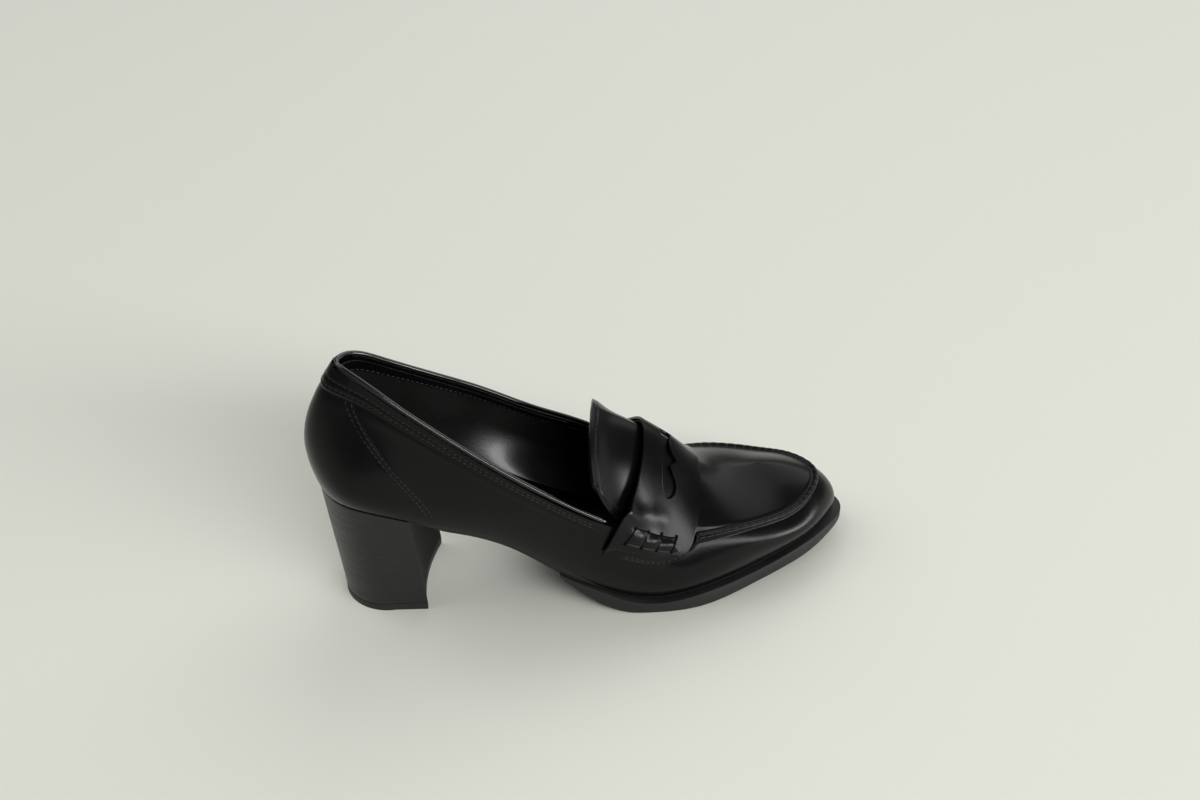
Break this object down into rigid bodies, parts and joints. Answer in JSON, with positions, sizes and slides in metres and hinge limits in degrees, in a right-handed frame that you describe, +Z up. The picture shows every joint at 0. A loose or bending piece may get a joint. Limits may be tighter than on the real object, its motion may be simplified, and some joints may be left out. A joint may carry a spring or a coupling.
{
  "type": "heeled penny loafer",
  "caption": "Black leather loafer pump with a moccasin toe, a slotted saddle strap, a curled tongue, a rubber forepart sole and a stacked block heel.",
  "frame": {"origin": "on the floor, under the middle of the shoe's box", "axes": "+X from heel to toe, +Y towards the inner side of the foot, +Z up from the floor"},
  "size_m": [0.2402, 0.0831, 0.1235],
  "materials": {
    "black_calf": "smooth black calf, waxed to a satin gloss",
    "lining": "smooth dark leather",
    "sole_edge": "inked and burnished edge",
    "sole_rubber": "matt moulded rubber",
    "stacked_heel": "black stacked leather, polished across the layers",
    "lift_rubber": "matt hard rubber"
  },
  "bodies": {
    "root": {"upper": "black_calf", "saddle_strap": "black_calf", "tongue": "black_calf", "collar_binding": "black_calf", "insole": "lining", "midsole": "sole_edge", "outsole": "sole_rubber", "heel": "stacked_heel", "top_lift": "lift_rubber"}
  },
  "joints": []
}
